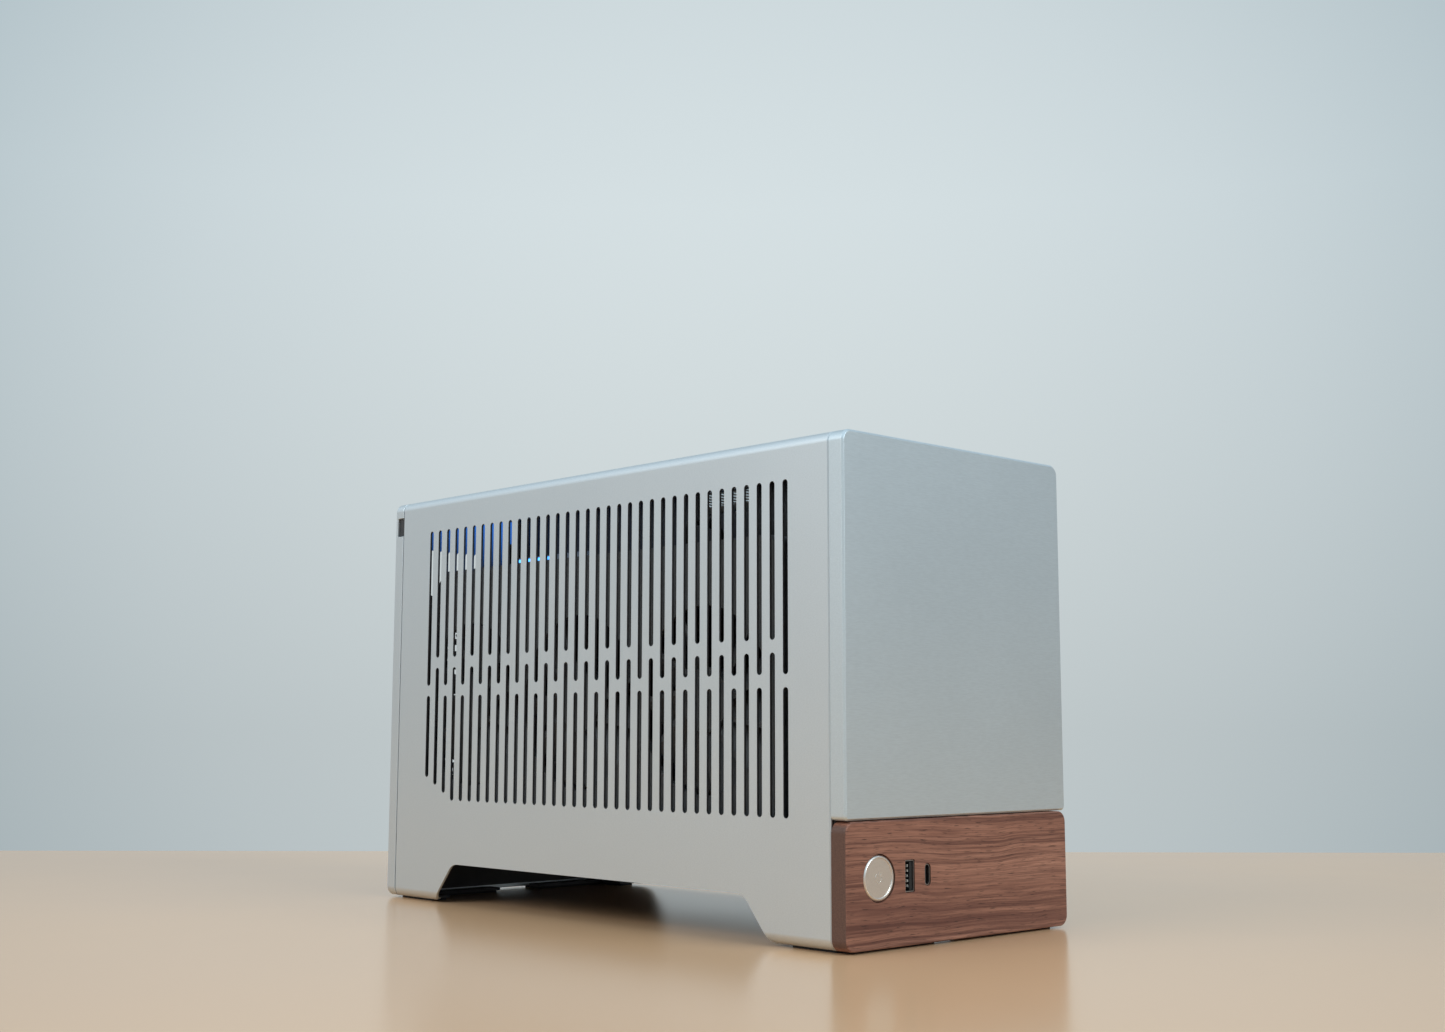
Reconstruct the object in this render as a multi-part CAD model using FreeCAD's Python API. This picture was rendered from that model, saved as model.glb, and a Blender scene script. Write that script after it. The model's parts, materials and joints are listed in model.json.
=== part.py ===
import FreeCAD, Part
import os
from math import acos, pi, sin, tan
from FreeCAD import Vector as V

# A small desktop computer tower. Origin at the centre of its base, +Z up, the front faces -Y.
# All sizes are in millimetres.

# Outer case
LENGTH = 343.0
WIDTH = 153.0
HEIGHT = 218.0
CORNER = 5.0
SKIN = 1.2
END_DEPTH = 8.0
PAD_H = 1.0
X_OUT = WIDTH / 2
Y_OUT = LENGTH / 2
Y_END = Y_OUT - END_DEPTH
X_IN = X_OUT - SKIN
Z_IN = HEIGHT - SKIN
Z_BASE = PAD_H
CURL_GAP_Z = 8.0
SHOULDER_Z = 212.0

# Doors: two L-shaped shells that swing up about rolled edges beside the top rail
DOOR_END = Y_END - 0.4
HINGE_X = 8.0
ROLL_R = 1.6
HINGE_Z = HEIGHT - ROLL_R
PIN_R = 0.8
PIN_BORE_R = 0.85
ROLL_END = 157.7
RAIL_X = HINGE_X - ROLL_R - 0.3
RAIL_BLOCK_X = HINGE_X + 2.1
RAIL_BLOCK_Y = ROLL_END + 0.3
RAIL_BLOCK_Z = 213.0
RAIL_WEB_Z = 214.8
DOOR_NOTCH_X = HINGE_X + 3.0

# Vent slots in the doors
SLOT_COUNT = 35
SLOT_PITCH = 8.0
SLOT_W = 3.1
SLOT_Y0 = 134.5
SLOT_TOP = 199.5
SLOT_BOTTOM = 54.0
SLOT_SPLIT_LOW = 109.5
SLOT_SPLIT_HIGH = 124.5
SLOT_BRIDGE = 5.5
SLOT_STEPS = (12.0, 8.0, 4.0)
TOP_SLOT_X0 = 12.5
TOP_SLOT_X1 = 54.0

# Arch in the foot of each door
ARCH_TOP = 21.0
ARCH_FRONT_TOP = -111.0
ARCH_REAR_TOP = 109.0
ARCH_FRONT_FOOT = -127.6
ARCH_REAR_FOOT = 125.9
ARCH_R = 9.0
FOOT_R = 8.0

# Front: metal cover over a wooden block
WOOD_TOP = 53.7
COVER_Z0 = 54.05
COVER_FACE = 3.0
COVER_RIM = 2.2
FRAME_T = 2.0
FRAME_X = 74.0
FRAME_TOP = 215.6
FRONT_INNER = -Y_END + FRAME_T
REAR_INNER = Y_END - FRAME_T
FLANGE_X0 = 68.0
FLANGE_X1 = 69.5
FLANGE_D = 11.5
FLANGE_TOP = 208.0
BUTTON_X = -55.75
BUTTON_Z = 30.0
BUTTON_R = 9.7
BUTTON_HOLE_R = 10.0
BUTTON_GUIDE_R = 3.0
USB_A_X = -36.2
USB_C_X = -24.5
PORT_Z = 29.9
SHELL_SETBACK = 0.4
TONGUE_SETBACK = 1.0
CONTACT_SETBACK = 1.7
USB_A_W = 5.1
USB_A_H = 12.5
USB_C_W = 3.3
USB_C_H = 8.9
BOARD_T = 1.6
PORT_BOARD_Y = -156.0

# Rear
NOTCH_Z0 = 199.25
NOTCH_Z1 = 209.5
NOTCH_DEPTH = 5.5
IO_X = (14.0, 58.0)
IO_Z = (42.0, 198.0)
INLET_X = -40.0
INLET_Z = 33.5
BRACKET_X1 = -12.5
BRACKET_PITCH = 20.32
BRACKET_Z = (48.0, 160.0)
VENT_X0 = -57.0
VENT_PITCH = 5.95
VENT_W = 4.4
VENT_Z = (166.5, 192.6)

# Chassis
TRAY_Z0 = 22.0
TRAY_Z1 = 23.5
LEG_X = 71.2
SHEET = 1.5
SPINE_X0 = 4.0
SPINE_X1 = 5.5
TOP_GAP_Y = (-36.0, 6.0)
TOP_GAP_Z = 203.0
STUD_Z = (40.0, 180.0)
STUD_Y = 155.0
LIP_SCREW_Z = 18.0
PAD_INNER_X = 15.0

# Mainboard side, +X
BOARD_X0 = 12.0
BOARD_X1 = BOARD_X0 + BOARD_T
BOARD_Y0 = -9.0
BOARD_Y1 = 161.0
BOARD_Z0 = 35.0
BOARD_Z1 = 205.0
CPU_Y = 78.0
CPU_Z = 128.0
COOLER_W = 92.0
COOLER_X0 = 24.0
COOLER_X1 = 51.0
CPU_FAN_X1 = 66.0
CPU_FAN_R = 42.5
FAN_SCREW = 41.2
BOARD_HOLES = [(y, z) for y in (-2.5, 154.9) for z in (41.0, 199.0)]

# Power supply
PSU_X0 = 8.5
PSU_X1 = 72.0
PSU_Y0 = -128.0
PSU_Y1 = -28.0
PSU_Z0 = 68.0
PSU_Z1 = 193.0
PSU_Y = (PSU_Y0 + PSU_Y1) / 2
PSU_Z = (PSU_Z0 + PSU_Z1) / 2
PSU_FAN_R = 40.0
PLUG_X = 41.0
PLUG_Z = 100.0
SWITCH_X = 17.0
SWITCH_Y = PSU_Y0 + 4.0
SWITCH_TILT = -8.0
LEAD_Y = PSU_Y0 - 14.0

# Graphics card side, -X
GPU_BACK = -10.0
GPU_BOARD = -12.0
GPU_FACE = -66.0
GPU_Y0 = -120.0
GPU_Y1 = 158.0
GPU_Z0 = 46.0
GPU_Z1 = 178.0
GPU_SLOPE_Y = 136.0
GPU_SLOPE_Z = 156.0
GPU_FAN_Y = (-74.0, 18.0, 110.0)
GPU_FAN_Z = 105.0
GPU_FAN_R = 42.0
LIGHT_Y = (28.0, 92.0)


def box(x0, x1, y0, y1, z0, z1):
    return Part.makeBox(x1 - x0, y1 - y0, z1 - z0, V(x0, y0, z0))


def rod(start, end, r):
    """Round bar between two points."""
    a = V(*start)
    d = V(*end) - a
    return Part.makeCylinder(r, d.Length, a, d)


def both_sides(shapes):
    """The shapes and their mirror images across the plane x = 0."""
    return shapes + [s.mirror(V(0, 0, 0), V(1, 0, 0)) for s in shapes]


def joined(shapes):
    whole = shapes[0].fuse(shapes[1:]) if len(shapes) > 1 else shapes[0]
    return whole.removeSplitter()


def at(plane, u, v, w):
    """A point from two coordinates in a plane and one along its normal."""
    if plane == "xz":
        return V(u, w, v)
    if plane == "yz":
        return V(w, u, v)
    return V(u, v, w)


def prism(plane, corners, w0, w1):
    """Extrude a polygon whose corners are (u, v) or (u, v, radius)."""
    edges = []
    ends = []
    count = len(corners)
    for i in range(count):
        here = at("xy", corners[i][0], corners[i][1], 0)
        before = at("xy", corners[i - 1][0], corners[i - 1][1], 0)
        after = at("xy", corners[(i + 1) % count][0], corners[(i + 1) % count][1], 0)
        r = corners[i][2] if len(corners[i]) > 2 else 0.0
        a = (before - here).normalize()
        b = (after - here).normalize()
        if r == 0.0:
            ends.append((here, None, here))
            continue
        half = acos(max(-1.0, min(1.0, a.dot(b)))) / 2
        reach = r / tan(half)
        middle = (a + b).normalize() * (r / sin(half) - r)
        ends.append((here + a * reach, here + middle, here + b * reach))
    for i in range(count):
        start, middle, end = ends[i]
        if middle is not None:
            edges.append(Part.Arc(*(at(plane, p.x, p.y, w0) for p in (start, middle, end))).toShape())
        following = ends[(i + 1) % count][0]
        if (following - end).Length > 1e-6:
            a = at(plane, end.x, end.y, w0)
            b = at(plane, following.x, following.y, w0)
            edges.append(Part.LineSegment(a, b).toShape())
    face = Part.Face(Part.Wire(edges))
    return face.extrude(at(plane, 0, 0, w1 - w0))


def slab(plane, u0, u1, v0, v1, r, w0, w1):
    """A rectangle with rounded corners, extruded."""
    return prism(plane, [(u0, v0, r), (u1, v0, r), (u1, v1, r), (u0, v1, r)], w0, w1)


def case_section(inset, z0, z1, r_low, r_high, y0, y1):
    """Part of the case's cross-section, with its own lower and upper corner radii."""
    x = X_OUT - inset
    corners = [(-x, z0, r_low), (x, z0, r_low), (x, z1, r_high), (-x, z1, r_high)]
    return prism("xz", corners, y0, y1)


def beside_flanges(y0, y1, z0, z1):
    """Boxes that trim both sides of an end plate down to the chassis width."""
    return both_sides([box(LEG_X, FRAME_X + 1, y0, y1, z0, z1)])


def save(name, shapes):
    """Write one node: a single solid, or a group of separate solids."""
    shapes = shapes if isinstance(shapes, list) else [shapes]
    solids = [s for shape in shapes for s in shape.Solids]
    whole = solids[0] if len(solids) == 1 else Part.makeCompound(solids)
    if not whole.isValid():
        raise ValueError("invalid shape: " + name)
    whole.exportStep("parts/" + name + ".step")


# Doors

def door_profile():
    """The door's section: top, rounded shoulder, side and inward-curled foot."""
    outer = [
        (-HINGE_X, HEIGHT), (-X_OUT, HEIGHT, CORNER), (-X_OUT, Z_BASE, CORNER), (-X_OUT + CORNER, Z_BASE),
        (-X_OUT + CORNER, Z_BASE + SKIN), (-X_IN, Z_BASE + SKIN, CORNER - SKIN),
        (-X_IN, Z_IN, CORNER - SKIN), (-HINGE_X, Z_IN),
    ]
    return prism("xz", outer, -DOOR_END, DOOR_END)


def door_edges(shell):
    """The outer edges at the shell's two ends."""
    found = []
    for edge in shell.Edges:
        extent = edge.BoundBox
        at_end = extent.YLength < 1e-6 and abs(abs(extent.YMin) - DOOR_END) < 1e-6
        outside = extent.XMax < -X_IN + CORNER and extent.XMin < -X_OUT + 1e-3
        top = abs(extent.ZMin - HEIGHT) < 1e-3 and abs(extent.ZMax - HEIGHT) < 1e-3
        if at_end and (outside or top):
            found.append(edge)
    return found


def side_slot(y, z0, z1):
    return slab("yz", y - SLOT_W / 2, y + SLOT_W / 2, z0, z1, SLOT_W / 2 - 0.01, -X_OUT - 1, -X_IN + 1)


def top_slot(y):
    return slab("xy", -TOP_SLOT_X1, -TOP_SLOT_X0, y - SLOT_W / 2, y + SLOT_W / 2, SLOT_W / 2 - 0.01,
                Z_IN - 1, HEIGHT + 1)


def door_slots():
    slots = []
    for i in range(SLOT_COUNT):
        y = SLOT_Y0 - i * SLOT_PITCH
        split = SLOT_SPLIT_LOW if i % 2 == 0 else SLOT_SPLIT_HIGH
        bottom = SLOT_BOTTOM + (SLOT_STEPS[i] if i < len(SLOT_STEPS) else 0.0)
        slots.append(side_slot(y, split + SLOT_BRIDGE, SLOT_TOP))
        slots.append(side_slot(y, bottom, split))
        slots.append(top_slot(y))
    return slots


def door_arch():
    low = Z_BASE - 3
    corners = [
        (ARCH_FRONT_TOP, ARCH_TOP, ARCH_R), (ARCH_REAR_TOP, ARCH_TOP, ARCH_R),
        (ARCH_REAR_FOOT, Z_BASE, FOOT_R), (ARCH_REAR_FOOT + 20, Z_BASE), (ARCH_REAR_FOOT + 20, low),
        (ARCH_FRONT_FOOT - 20, low), (ARCH_FRONT_FOOT - 20, Z_BASE), (ARCH_FRONT_FOOT, Z_BASE, FOOT_R),
    ]
    return prism("yz", corners, -X_OUT - 1, -X_OUT + CORNER + 1)


def door():
    shell = door_profile()
    shell = shell.makeChamfer(0.6, door_edges(shell))
    roll = rod((-HINGE_X, -ROLL_END, HINGE_Z), (-HINGE_X, ROLL_END, HINGE_Z), ROLL_R)
    bore = rod((-HINGE_X, -Y_END, HINGE_Z), (-HINGE_X, Y_END, HINGE_Z), PIN_BORE_R)
    corners = [box(-DOOR_NOTCH_X, -HINGE_X + 3, a, b, Z_IN - 3, HEIGHT + 3)
               for a, b in ((-Y_END - 1, -ROLL_END), (ROLL_END, Y_END + 1))]
    whole = shell.fuse(roll).cut(corners + [bore, door_arch()] + door_slots())
    return whole.removeSplitter()


def clip_sockets():
    """Round sockets inside a door that snap over the chassis studs."""
    sockets = []
    for y in (-STUD_Y, STUD_Y):
        for z in STUD_Z:
            outside = rod((-X_IN, y, z), (-71.9, y, z), 4.0)
            sockets.append(outside.cut(rod((-X_IN, y, z), (-71.9, y, z), 2.6)))
    return sockets


def studs():
    """Mushroom studs on the chassis flanges that the door clips snap over."""
    found = []
    for y in (-STUD_Y, STUD_Y):
        for z in STUD_Z:
            out = V(-1, 0, 0)
            stem = rod((-FLANGE_X1, y, z), (-71.2, y, z), 1.0)
            neck = Part.makeCone(1.0, 1.8, 1.2, V(-71.2, y, z), out)
            head = Part.makeCone(1.8, 0.9, 1.6, V(-72.4, y, z), out)
            found.append(joined([stem, neck, head]))
    return both_sides(found)


def top_rail():
    """Fixed strip between the doors, with an end block at each end that holds the hinge pins."""
    strip = box(-RAIL_X, RAIL_X, -RAIL_BLOCK_Y, RAIL_BLOCK_Y, Z_IN, HEIGHT)
    web = box(-1.0, 1.0, -RAIL_BLOCK_Y, RAIL_BLOCK_Y, RAIL_WEB_Z, Z_IN)
    blocks = [box(-RAIL_BLOCK_X, RAIL_BLOCK_X, a, b, RAIL_BLOCK_Z, HEIGHT)
              for a, b in ((-Y_END, -RAIL_BLOCK_Y), (RAIL_BLOCK_Y, Y_END))]
    bores = [rod((x, -Y_END, HINGE_Z), (x, Y_END, HINGE_Z), PIN_R) for x in (-HINGE_X, HINGE_X)]
    return joined([strip, web] + blocks).cut(bores)


def hinge_pins():
    return [rod((x, s * (Y_END - 0.2), HINGE_Z), (x, s * 146.0, HINGE_Z), PIN_R)
            for x in (-HINGE_X, HINGE_X) for s in (-1, 1)]


# Front

def front_cover():
    outer = case_section(0, COVER_Z0, HEIGHT, 2.0, CORNER, -Y_OUT, -Y_END)
    face_edges = [e for e in outer.Edges if e.BoundBox.YLength < 1e-6 and e.BoundBox.YMax < -Y_OUT + 1e-3]
    outer = outer.makeChamfer(0.9, face_edges)
    hollow = case_section(COVER_RIM, COVER_Z0 + COVER_RIM, HEIGHT - COVER_RIM, 0.5, CORNER - COVER_RIM,
                          -Y_OUT + COVER_FACE, -Y_END + 1)
    posts = [rod((x, -Y_OUT + COVER_FACE - 0.1, z), (x, -Y_END, z), 3.5)
             for x in (-55, 55) for z in (75, 195)]
    ribs = [box(x - 0.75, x + 0.75, -Y_OUT + COVER_FACE - 0.1, -Y_END - 1.5, COVER_Z0 + 1, HEIGHT - 1)
            for x in (-25, 25)]
    pin_holes = [rod((x, -Y_END - 1.5, HINGE_Z), (x, -Y_END + 1, HINGE_Z), PIN_R + 0.2)
                 for x in (-HINGE_X, HINGE_X)]
    return joined([outer.cut(hollow)] + posts + ribs).cut(pin_holes)


def walnut_block():
    """Wooden block with the bore of the button, the two port cut-outs and a shallow back pocket."""
    outer = case_section(0, Z_BASE, WOOD_TOP, CORNER, CORNER - 0.01, -Y_OUT, -Y_END)
    face_edges = [e for e in outer.Edges if e.BoundBox.YLength < 1e-6 and e.BoundBox.YMax < -Y_OUT + 1e-3]
    outer = outer.makeFillet(0.8, face_edges)
    bore = rod((BUTTON_X, -Y_OUT - 1, BUTTON_Z), (BUTTON_X, -Y_END + 1, BUTTON_Z), BUTTON_HOLE_R)
    a = slab("xz", USB_A_X - 3.1, USB_A_X + 3.1, PORT_Z - 6.85, PORT_Z + 6.85, 0.6, -Y_OUT - 1, -Y_END + 1)
    c = slab("xz", USB_C_X - 2.0, USB_C_X + 2.0, PORT_Z - 4.8, PORT_Z + 4.8, 1.95, -Y_OUT - 1, -Y_END + 1)
    return outer.cut([bore, a, c])


def power_button():
    """Dished cap with a bevelled rim and a guide stem."""
    y0 = -Y_OUT
    cap = rod((BUTTON_X, y0, BUTTON_Z), (BUTTON_X, y0 + 4.5, BUTTON_Z), BUTTON_R)
    rim = [e for e in cap.Edges if e.BoundBox.YMax < y0 + 1e-3 and e.BoundBox.XLength > 1]
    cap = cap.makeChamfer(0.8, rim)
    dish = rod((BUTTON_X, y0 - 0.1, BUTTON_Z), (BUTTON_X, y0 + 0.35, BUTTON_Z), BUTTON_R - 1.5)
    stem = rod((BUTTON_X, y0 + 4.4, BUTTON_Z), (BUTTON_X, PORT_BOARD_Y - 6.4, BUTTON_Z), BUTTON_GUIDE_R)
    return joined([cap.cut(dish), stem])


def button_switch():
    y = PORT_BOARD_Y
    base = box(BUTTON_X - 3, BUTTON_X + 3, y - 3.5, y, BUTTON_Z - 3, BUTTON_Z + 3)
    plunger = rod((BUTTON_X, y - 4.9, BUTTON_Z), (BUTTON_X, y - 3.4, BUTTON_Z), 1.7)
    return joined([base, plunger])


def usb_a_shell():
    x, z = USB_A_X, PORT_Z
    w, h = USB_A_W / 2, USB_A_H / 2
    t = 0.35
    outer = slab("xz", x - w - t, x + w + t, z - h - t, z + h + t, 0.5, -Y_OUT + SHELL_SETBACK, PORT_BOARD_Y)
    inner = slab("xz", x - w, x + w, z - h, z + h, 0.3, -Y_OUT, PORT_BOARD_Y - 1.0)
    return outer.cut(inner)


def usb_a_tongue():
    x = USB_A_X + 0.6
    return box(x, x + 1.75, -Y_OUT + TONGUE_SETBACK, PORT_BOARD_Y - 1.0, PORT_Z - 5.9, PORT_Z + 5.9)


def usb_contacts():
    """Spring contacts on the face of the USB-A tongue."""
    x = USB_A_X + 0.6
    return [box(x - 0.25, x, -Y_OUT + CONTACT_SETBACK, -Y_OUT + 11.0, PORT_Z + z - 0.5, PORT_Z + z + 0.5)
            for z in (-4.2, -2.1, 0.0, 2.1, 4.2)]


def usb_c_shell():
    x, z = USB_C_X, PORT_Z
    w, h = USB_C_W / 2, USB_C_H / 2
    t = 0.3
    outer = slab("xz", x - w, x + w, z - h, z + h, w - 0.01, -Y_OUT + SHELL_SETBACK, PORT_BOARD_Y)
    inner = slab("xz", x - w + t, x + w - t, z - h + t, z + h - t, w - t - 0.01, -Y_OUT, PORT_BOARD_Y - 1.0)
    return outer.cut(inner)


def usb_c_tongue():
    y0 = -Y_OUT + TONGUE_SETBACK + SHELL_SETBACK
    return box(USB_C_X - 0.35, USB_C_X + 0.35, y0, PORT_BOARD_Y - 1.0, PORT_Z - 3.3, PORT_Z + 3.3)


def port_board():
    plate = box(-66, -15, PORT_BOARD_Y, PORT_BOARD_Y + BOARD_T, 25.0, 48.0)
    header = box(-35, -21, PORT_BOARD_Y + BOARD_T, PORT_BOARD_Y + BOARD_T + 7, 38.0, 45.0)
    return joined([plate, header])


def front_frame():
    """Folded steel plate behind the front, with side flanges for the door studs."""
    y0, y1 = -Y_END, FRONT_INNER
    plate = box(-FRAME_X, FRAME_X, y0, y1, Z_BASE, FRAME_TOP)
    flanges = both_sides([box(FLANGE_X0, FLANGE_X1, y1 - 0.1, y1 + FLANGE_D, TRAY_Z1 + 0.5, FLANGE_TOP)])
    curl_gaps = beside_flanges(y0 - 1, y1 + 1, Z_BASE - 1, CURL_GAP_Z)
    shoulders = beside_flanges(y0 - 1, y1 + 1, SHOULDER_Z, FRAME_TOP + 1)
    notch = box(-RAIL_BLOCK_X - 0.3, RAIL_BLOCK_X + 0.3, y0 - 1, y1 + 1, RAIL_BLOCK_Z, FRAME_TOP + 1)
    holes = [rod((BUTTON_X, y0 - 1, BUTTON_Z), (BUTTON_X, y1 + 1, BUTTON_Z), BUTTON_GUIDE_R + 0.06),
             box(USB_A_X - 4.5, USB_A_X + 4.5, y0 - 1, y1 + 1, PORT_Z - 8, PORT_Z + 8),
             box(USB_C_X - 3, USB_C_X + 3, y0 - 1, y1 + 1, PORT_Z - 6, PORT_Z + 6)]
    return joined([plate] + flanges).cut(curl_gaps + shoulders + [notch] + holes)


# Rear

def rear_bezel():
    """Metal ring around the recessed rear plate, notched on each side near the top."""
    outer = case_section(0, Z_BASE, HEIGHT, CORNER, CORNER - 0.01, Y_END, Y_OUT)
    face_edges = [e for e in outer.Edges if e.BoundBox.YLength < 1e-6 and e.BoundBox.YMax > Y_OUT - 1e-3]
    outer = outer.makeChamfer(0.9, face_edges)
    inner = case_section(COVER_RIM, Z_BASE + COVER_RIM, HEIGHT - COVER_RIM, CORNER - COVER_RIM,
                         CORNER - COVER_RIM - 0.01, Y_END - 1, Y_OUT + 1)
    notches = both_sides([box(X_OUT - 4.5, X_OUT + 1, Y_END - 1, Y_END + NOTCH_DEPTH, NOTCH_Z0, NOTCH_Z1)])
    return outer.cut([inner] + notches)


def lock_tabs():
    """Dark tabs that fill the notches of the bezel, set back from its surface."""
    tab = box(X_OUT - COVER_RIM - 1.4, X_OUT - 1.2, Y_END + 0.2, Y_END + NOTCH_DEPTH - 0.2,
              NOTCH_Z0 + 0.2, NOTCH_Z1 - 0.2)
    return both_sides([tab])


def rear_plate():
    """Steel plate with the mainboard window, the card slots, the inlet cut-out and vents."""
    y0, y1 = REAR_INNER, Y_END
    plate = box(-FRAME_X, FRAME_X, y0, y1, Z_BASE + COVER_RIM, FRAME_TOP)
    flanges = both_sides([box(FLANGE_X0, FLANGE_X1, y0 - FLANGE_D, y0 + 0.1, TRAY_Z1 + 0.5, FLANGE_TOP)])
    cuts = beside_flanges(y0 - 1, y1 + 1, SHOULDER_Z, FRAME_TOP + 1)
    cuts += beside_flanges(y0 - 1, y1 + 1, Z_BASE, CURL_GAP_Z)
    cuts.append(box(-RAIL_BLOCK_X - 0.3, RAIL_BLOCK_X + 0.3, y0 - 1, y1 + 1, RAIL_BLOCK_Z, FRAME_TOP + 1))
    cuts.append(box(IO_X[0], IO_X[1], y0 - 1, y1 + 1, IO_Z[0], IO_Z[1]))
    cuts.append(box(INLET_X - 14, INLET_X + 14, y0 - 1, y1 + 1, INLET_Z - 10.2, INLET_Z + 10.2))
    for i in range(2):
        x = BRACKET_X1 - 7.0 - i * BRACKET_PITCH
        cuts.append(box(x - 6.5, x + 6.5, y0 - 1, y1 + 1, BRACKET_Z[0], BRACKET_Z[1]))
    for i in range(6):
        x = VENT_X0 + i * VENT_PITCH
        cuts.append(slab("xz", x - VENT_W / 2, x + VENT_W / 2, *VENT_Z, VENT_W / 2 - 0.1, y0 - 1, y1 + 1))
    return joined([plate] + flanges).cut(cuts)


def io_shield():
    """Thin plate in the mainboard window, with the outlines of the rear connectors."""
    gap = 0.2
    y = REAR_INNER + 0.5
    plate = box(IO_X[0] + gap, IO_X[1] - gap, y, y + 1.0, IO_Z[0] + gap, IO_Z[1] - gap)
    cuts = [box(c[0] - 0.4, c[1] + 0.4, REAR_INNER, Y_END, c[2] - 0.4, c[3] + 0.4) for c in io_outlines()]
    return plate.cut(cuts)


def io_outlines():
    """Rear connectors as (x0, x1, z0, z1), from the bottom up."""
    x = BOARD_X1
    found = []
    for z in (50.0, 68.0, 86.0):
        found.append((x + 1.2, x + 7.6, z, z + 13.4))
        found.append((x + 9.2, x + 15.6, z, z + 13.4))
    found.append((x + 1.2, x + 15.2, 104.0, 120.0))
    found.append((x + 1.2, x + 7.0, 126.0, 141.0))
    found.append((x + 1.2, x + 9.6, 147.0, 164.0))
    for z in (170.0, 180.0):
        found.append((x + 1.2, x + 10.2, z, z + 9.0))
    return found


def io_connectors():
    """Bodies of the rear connectors, each a shell that is open to the rear."""
    found = []
    for x0, x1, z0, z1 in io_outlines():
        shell = box(x0, x1, BOARD_Y1 - 18, Y_END, z0, z1)
        mouth = box(x0 + 0.7, x1 - 0.7, Y_END - 9, Y_END + 1, z0 + 0.7, z1 - 0.7)
        foot = box(BOARD_X1, x0 + 0.1, BOARD_Y1 - 16, BOARD_Y1 - 4, z0 + 1, z1 - 1)
        found.append(joined([shell.cut(mouth), foot]) if x0 < BOARD_X1 + 5 else shell.cut(mouth))
    return found


def mains_inlet():
    """Appliance inlet: flange outside the plate, body inside, three blades in the socket."""
    x, z = INLET_X, INLET_Z
    flange = slab("xz", x - 25, x + 25, z - 11, z + 11, 4.0, Y_END, Y_END + 2.5)
    body = box(x - 13.6, x + 13.6, Y_END - 22, Y_END + 0.1, z - 9.8, z + 9.8)
    socket = prism("xz", [(x - 12, z - 8), (x + 12, z - 8), (x + 12, z + 4), (x + 8, z + 8), (x - 8, z + 8),
                          (x - 12, z + 4)], Y_END - 16, Y_END + 4)
    blades = [box(x + dx - 1, x + dx + 1, Y_END - 17, Y_END - 5, z + dz - 2, z + dz + 2)
              for dx, dz in ((-7, -2), (7, -2), (0, 3))]
    holes = [rod((x + s * 20, Y_END - 1, z), (x + s * 20, Y_END + 4, z), 1.6) for s in (-1, 1)]
    return joined([joined([flange, body]).cut([socket] + holes)] + blades)


# Chassis

def bottom_tray():
    """Vented floor plate, stiffened by lips at both ends."""
    plate = box(-LEG_X, LEG_X, FRONT_INNER, REAR_INNER, TRAY_Z0, TRAY_Z1)
    slots = [slab("xy", x, x + 40, y - 2, y + 2, 1.95, TRAY_Z0 - 1, TRAY_Z1 + 1)
             for x in (-62, 14) for y in range(-130, 90, 10)]
    lips = [box(-50, 50, a, b, TRAY_Z0 - 8, TRAY_Z0 + 0.1)
            for a, b in ((FRONT_INNER, FRONT_INNER + SHEET), (REAR_INNER - SHEET, REAR_INNER))]
    port_gap = box(USB_A_X - 5, USB_A_X + 5, FRONT_INNER - 1, PORT_BOARD_Y + 2, TRAY_Z0 - 1, TRAY_Z1 + 1)
    return joined([plate] + lips).cut(slots + [port_gap])


def chassis_foot():
    """Folded corner leg under the tray, at the front on the -X side."""
    y0 = FRONT_INNER
    side = [(y0, Z_BASE), (-133, Z_BASE, 4), (-116, TRAY_Z0, 3), (y0, TRAY_Z0)]
    wall = prism("yz", side, -LEG_X, -LEG_X + SHEET)
    outline = [(-LEG_X, y0), (-14, y0), (-14, y0 + 10), (-60, y0 + 10), (-60, -134), (-LEG_X, -134)]
    sole = prism("xy", outline, Z_BASE, Z_BASE + SHEET)
    return joined([wall, sole])


def chassis_feet():
    foot = chassis_foot()
    rear = foot.mirror(V(0, 0, 0), V(0, 1, 0))
    return both_sides([foot, rear])


def rubber_pad():
    """L-shaped pad under one corner."""
    y0 = -Y_OUT + 4.0
    x1 = -PAD_INNER_X
    outline = [(-69, y0, 1.5), (x1, y0, 1.5), (x1, y0 + 15, 1.5), (-61, y0 + 15), (-61, -135, 1.5),
               (-LEG_X + 0.2, -135, 1.5), (-LEG_X + 0.2, y0 + 6, 1.5), (-69, y0 + 6)]
    return prism("xy", outline, 0, PAD_H)


def rubber_pads():
    pad = rubber_pad()
    return both_sides([pad, pad.mirror(V(0, 0, 0), V(0, 1, 0))])


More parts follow.
